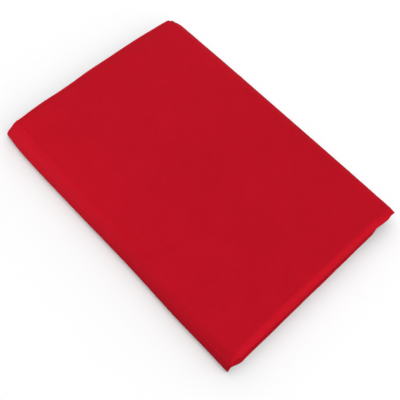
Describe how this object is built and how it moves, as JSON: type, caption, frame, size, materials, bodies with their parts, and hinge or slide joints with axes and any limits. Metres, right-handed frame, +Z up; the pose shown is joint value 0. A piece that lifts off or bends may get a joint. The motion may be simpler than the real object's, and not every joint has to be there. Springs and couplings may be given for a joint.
{
  "type": "fabric bolt",
  "caption": "Flat bolt of plain red quilting cotton wound round a corrugated board; the tail unfolds from the roll and the board slides out of the end.",
  "frame": {"origin": "centre of the footprint, on the face that the bolt lies on", "axes": "+X along the board, which the cloth is wound about; +Y across the board, away from the outer fold; +Z up"},
  "size_m": [0.284, 0.1959, 0.0197],
  "materials": {
    "red_cotton": "plain-weave cotton, matt with a faint sheen",
    "kraft_board": "uncoated kraft paper, matt"
  },
  "bodies": {
    "bolt": {"cloth_turn_1": "red_cotton", "cloth_turn_2": "red_cotton", "cloth_turn_3": "red_cotton", "cloth_turn_4": "red_cotton", "cloth_turn_5": "red_cotton"},
    "fold_1": {"outer_fold_strip_1": "red_cotton"},
    "fold_2": {"outer_fold_strip_2": "red_cotton"},
    "tail": {"cloth_tail": "red_cotton"},
    "board": {"board_top_liner": "kraft_board", "board_fluting": "kraft_board", "board_bottom_liner": "kraft_board"}
  },
  "joints": [
    {"name": "fold_hinge_1", "type": "hinge", "parent": "bolt", "child": "fold_1", "pos_m": [0, -0.0923, 0], "axis": [1, 0, 0], "range_deg": [0, 60]},
    {"name": "fold_hinge_2", "type": "hinge", "parent": "fold_1", "child": "fold_2", "pos_m": [0, -0.09799, 0.00985], "axis": [1, 0, 0], "range_deg": [0, 60]},
    {"name": "tail_unfold", "type": "hinge", "parent": "fold_2", "child": "tail", "pos_m": [0, -0.0923, 0.0197], "axis": [1, 0, 0], "range_deg": [0, 60]},
    {"name": "board_slide", "type": "slide", "parent": "bolt", "child": "board", "axis": [1, 0, 0], "range_m": [0, 0.279]}
  ],
  "couplings": [
    {"joint": "fold_hinge_1", "follows": "tail_unfold", "ratio": 1},
    {"joint": "fold_hinge_2", "follows": "tail_unfold", "ratio": 1}
  ]
}
